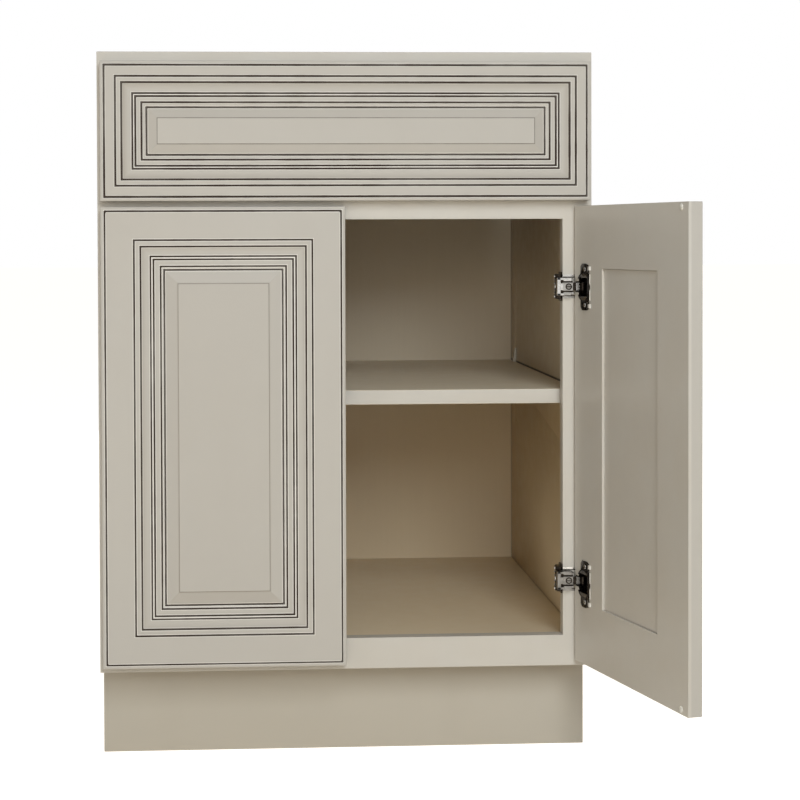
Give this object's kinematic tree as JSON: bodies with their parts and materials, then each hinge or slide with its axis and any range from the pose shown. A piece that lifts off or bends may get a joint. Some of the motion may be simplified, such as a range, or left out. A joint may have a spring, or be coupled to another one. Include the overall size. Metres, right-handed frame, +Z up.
{
  "type": "kitchen base cabinet",
  "caption": "Face-frame kitchen base cabinet with a drawer above hinged raised-panel doors, an adjustable shelf, concealed hinges and a recessed toe kick.",
  "frame": {"origin": "on the floor, at the middle of the toe-kick board's lower edge", "axes": "+Z up, +Y to the wall behind the cabinet, +X to the right of someone who faces the doors"},
  "size_m": [0.6759, 0.903, 0.8763],
  "materials": {
    "painted_wood": "satin greige paint with dark brown glaze in the moulding",
    "birch_plywood": "clear lacquer",
    "nickel_steel": "nickel plated",
    "zinc_steel": "zinc plated",
    "clear_plastic": "clear moulded plastic"
  },
  "bodies": {
    "carcass": {"side_panel_left": "painted_wood", "side_panel_right": "painted_wood", "bottom_panel": "painted_wood", "back_panel": "painted_wood", "hang_rail_top": "birch_plywood", "hang_rail_bottom": "birch_plywood", "toe_kick_board": "painted_wood", "face_frame_left_stile": "painted_wood", "face_frame_right_stile": "painted_wood", "face_frame_top_rail": "painted_wood", "face_frame_middle_rail": "painted_wood", "face_frame_bottom_rail": "painted_wood", "shelf": "painted_wood", "shelf_clip_front_left": "clear_plastic", "shelf_clip_back_left": "clear_plastic", "shelf_clip_front_right": "clear_plastic", "shelf_clip_back_right": "clear_plastic", "drawer_slide_left_cabinet_member": "zinc_steel", "drawer_slide_right_cabinet_member": "zinc_steel", "left_door_upper_hinge_arm": "nickel_steel", "left_door_lower_hinge_arm": "nickel_steel", "right_door_upper_hinge_arm": "nickel_steel", "right_door_lower_hinge_arm": "nickel_steel"},
    "left_door": {"left_door_hinge_stile": "painted_wood", "left_door_lock_stile": "painted_wood", "left_door_top_rail": "painted_wood", "left_door_bottom_rail": "painted_wood", "left_door_panel": "painted_wood", "left_door_upper_hinge_cup": "nickel_steel", "left_door_lower_hinge_cup": "nickel_steel", "left_door_upper_hinge_pin": "nickel_steel", "left_door_lower_hinge_pin": "nickel_steel", "left_door_upper_bumper": "clear_plastic", "left_door_lower_bumper": "clear_plastic"},
    "right_door": {"right_door_hinge_stile": "painted_wood", "right_door_lock_stile": "painted_wood", "right_door_top_rail": "painted_wood", "right_door_bottom_rail": "painted_wood", "right_door_panel": "painted_wood", "right_door_upper_hinge_cup": "nickel_steel", "right_door_lower_hinge_cup": "nickel_steel", "right_door_upper_hinge_pin": "nickel_steel", "right_door_lower_hinge_pin": "nickel_steel", "right_door_upper_bumper": "clear_plastic", "right_door_lower_bumper": "clear_plastic"},
    "drawer": {"drawer_front_left_stile": "painted_wood", "drawer_front_right_stile": "painted_wood", "drawer_front_top_rail": "painted_wood", "drawer_front_bottom_rail": "painted_wood", "drawer_front_panel": "painted_wood", "drawer_box_left_side": "birch_plywood", "drawer_box_right_side": "birch_plywood", "drawer_box_front": "birch_plywood", "drawer_box_back": "birch_plywood", "drawer_box_bottom": "birch_plywood", "drawer_slide_left_drawer_member": "zinc_steel", "drawer_slide_right_drawer_member": "zinc_steel"},
    "slide_middle_left": {"drawer_slide_left_middle_member": "zinc_steel"},
    "slide_middle_right": {"drawer_slide_right_middle_member": "zinc_steel"}
  },
  "joints": [
    {"name": "left_door_swing", "type": "hinge", "parent": "carcass", "child": "left_door", "pos_m": [-0.2921, -0.07715, 0.4045], "axis": [0, 0, -1], "range_deg": [0, 104]},
    {"name": "right_door_swing", "type": "hinge", "parent": "carcass", "child": "right_door", "pos_m": [0.2921, -0.07715, 0.4045], "axis": [0, 0, 1], "range_deg": [-104, 0]},
    {"name": "drawer_travel", "type": "slide", "parent": "carcass", "child": "drawer", "axis": [0, -1, 0], "range_m": [0, 0.457]},
    {"name": "slide_middle_left_travel", "type": "slide", "parent": "carcass", "child": "slide_middle_left", "axis": [0, -1, 0], "range_m": [0, 0.2285]},
    {"name": "slide_middle_right_travel", "type": "slide", "parent": "carcass", "child": "slide_middle_right", "axis": [0, -1, 0], "range_m": [0, 0.2285]}
  ],
  "couplings": [
    {"joint": "slide_middle_left_travel", "follows": "drawer_travel", "ratio": 0.5},
    {"joint": "slide_middle_right_travel", "follows": "drawer_travel", "ratio": 0.5}
  ]
}
